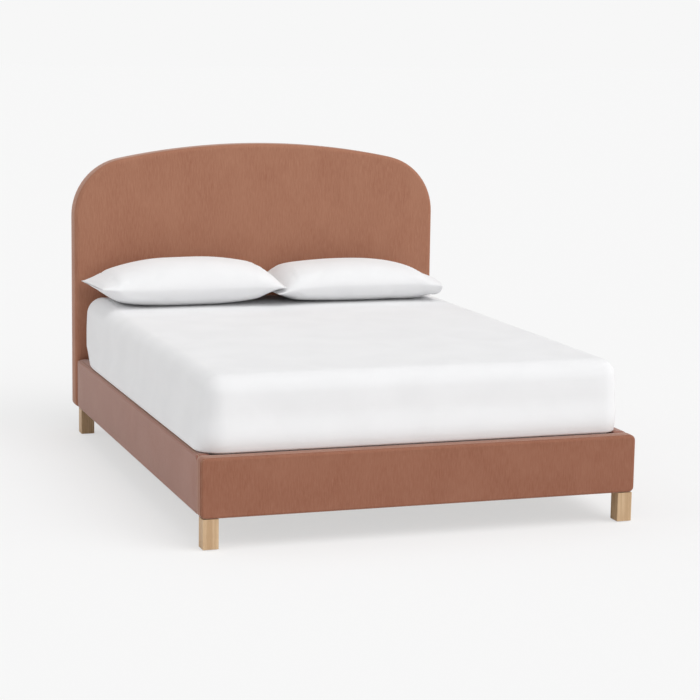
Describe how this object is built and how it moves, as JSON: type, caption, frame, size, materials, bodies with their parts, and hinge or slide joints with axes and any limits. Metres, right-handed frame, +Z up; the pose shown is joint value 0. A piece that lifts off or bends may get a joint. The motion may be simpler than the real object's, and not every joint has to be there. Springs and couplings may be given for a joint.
{
  "type": "upholstered bed",
  "caption": "Padded platform bed with an arched headboard, upholstered rails, short square legs, a slatted base, a mattress in a fitted sheet and bed pillows.",
  "frame": {"origin": "on the floor under the middle of the whole bed", "axes": "+X across the bed to the right as seen from its foot, +Y from foot to headboard, +Z up"},
  "size_m": [1.652, 2.23, 1.258],
  "materials": {
    "velvet": "brushed velvet",
    "foam": "open-cell foam",
    "lining": "spunbonded cloth",
    "plywood": "plywood",
    "pine": "planed pine",
    "oak": "lacquered oak",
    "sheet_cotton": "cotton percale",
    "pillow_cotton": "cotton percale",
    "ticking": "knitted ticking",
    "zinc_steel": "zinc plated",
    "webbing": "woven webbing",
    "nylon": "moulded nylon"
  },
  "bodies": {
    "frame": {"headboard_cover": "velvet", "headboard_foam": "foam", "headboard_face_panel": "plywood", "headboard_left_post": "pine", "headboard_right_post": "pine", "headboard_crown_rail": "pine", "headboard_middle_rail": "pine", "headboard_lower_rail": "pine", "headboard_bottom_rail": "pine", "headboard_back_lining": "lining", "left_side_rail_cover": "velvet", "left_side_rail_foam": "foam", "left_side_rail_board": "plywood", "right_side_rail_cover": "velvet", "right_side_rail_foam": "foam", "right_side_rail_board": "plywood", "foot_rail_cover": "velvet", "foot_rail_foam": "foam", "foot_rail_board": "plywood", "foot_corner_brackets": "zinc_steel", "head_corner_brackets": "zinc_steel", "side_rail_bolts": "zinc_steel", "foot_bolts": "zinc_steel", "head_bolts": "zinc_steel", "front_left_leg": "oak", "front_right_leg": "oak", "rear_left_leg": "oak", "rear_right_leg": "oak", "leg_hanger_bolts": "zinc_steel", "leg_glides": "nylon", "left_slat_ledger": "pine", "right_slat_ledger": "pine", "ledger_screws": "zinc_steel", "slats": "pine", "slat_screws": "zinc_steel", "slat_straps": "webbing", "centre_beam": "pine", "beam_hangers": "zinc_steel", "beam_hanger_screws": "zinc_steel", "front_centre_leg": "pine", "rear_centre_leg": "pine", "centre_leg_bolts": "zinc_steel", "leveller_inserts": "zinc_steel"},
    "mattress": {"mattress": "ticking", "fitted_sheet": "sheet_cotton"},
    "right_pillow": {"right_pillow": "ticking", "right_pillowcase": "pillow_cotton"},
    "left_pillow": {"left_pillow": "ticking", "left_pillowcase": "pillow_cotton"},
    "front_leveller_pad": {"front_leveller_pad": "nylon"},
    "front_leveller_stem": {"front_leveller_stem": "zinc_steel"},
    "rear_leveller_pad": {"rear_leveller_pad": "nylon"},
    "rear_leveller_stem": {"rear_leveller_stem": "zinc_steel"}
  },
  "joints": [
    {"name": "mattress_lift", "type": "slide", "parent": "frame", "child": "mattress", "axis": [0, 0, 1], "range_m": [0, 1]},
    {"name": "right_pillow_lift", "type": "slide", "parent": "mattress", "child": "right_pillow", "axis": [0, 0, 1], "range_m": [0, 0.7]},
    {"name": "left_pillow_lift", "type": "slide", "parent": "right_pillow", "child": "left_pillow", "axis": [0, 0, 1], "range_m": [0, 0.7]},
    {"name": "front_leveller_travel", "type": "slide", "parent": "frame", "child": "front_leveller_pad", "axis": [0, 0, -1], "range_m": [0, 0.012]},
    {"name": "front_leveller_turn", "type": "hinge", "parent": "front_leveller_pad", "child": "front_leveller_stem", "pos_m": [0, -0.35, 0.03], "axis": [0, 0, -1], "range_deg": [0, 3456]},
    {"name": "rear_leveller_travel", "type": "slide", "parent": "frame", "child": "rear_leveller_pad", "axis": [0, 0, -1], "range_m": [0, 0.012]},
    {"name": "rear_leveller_turn", "type": "hinge", "parent": "rear_leveller_pad", "child": "rear_leveller_stem", "pos_m": [0, 0.35, 0.03], "axis": [0, 0, -1], "range_deg": [0, 3456]}
  ],
  "couplings": [
    {"joint": "front_leveller_travel", "follows": "front_leveller_turn", "m_per_rad": 0.00019894},
    {"joint": "rear_leveller_travel", "follows": "rear_leveller_turn", "m_per_rad": 0.00019894}
  ]
}
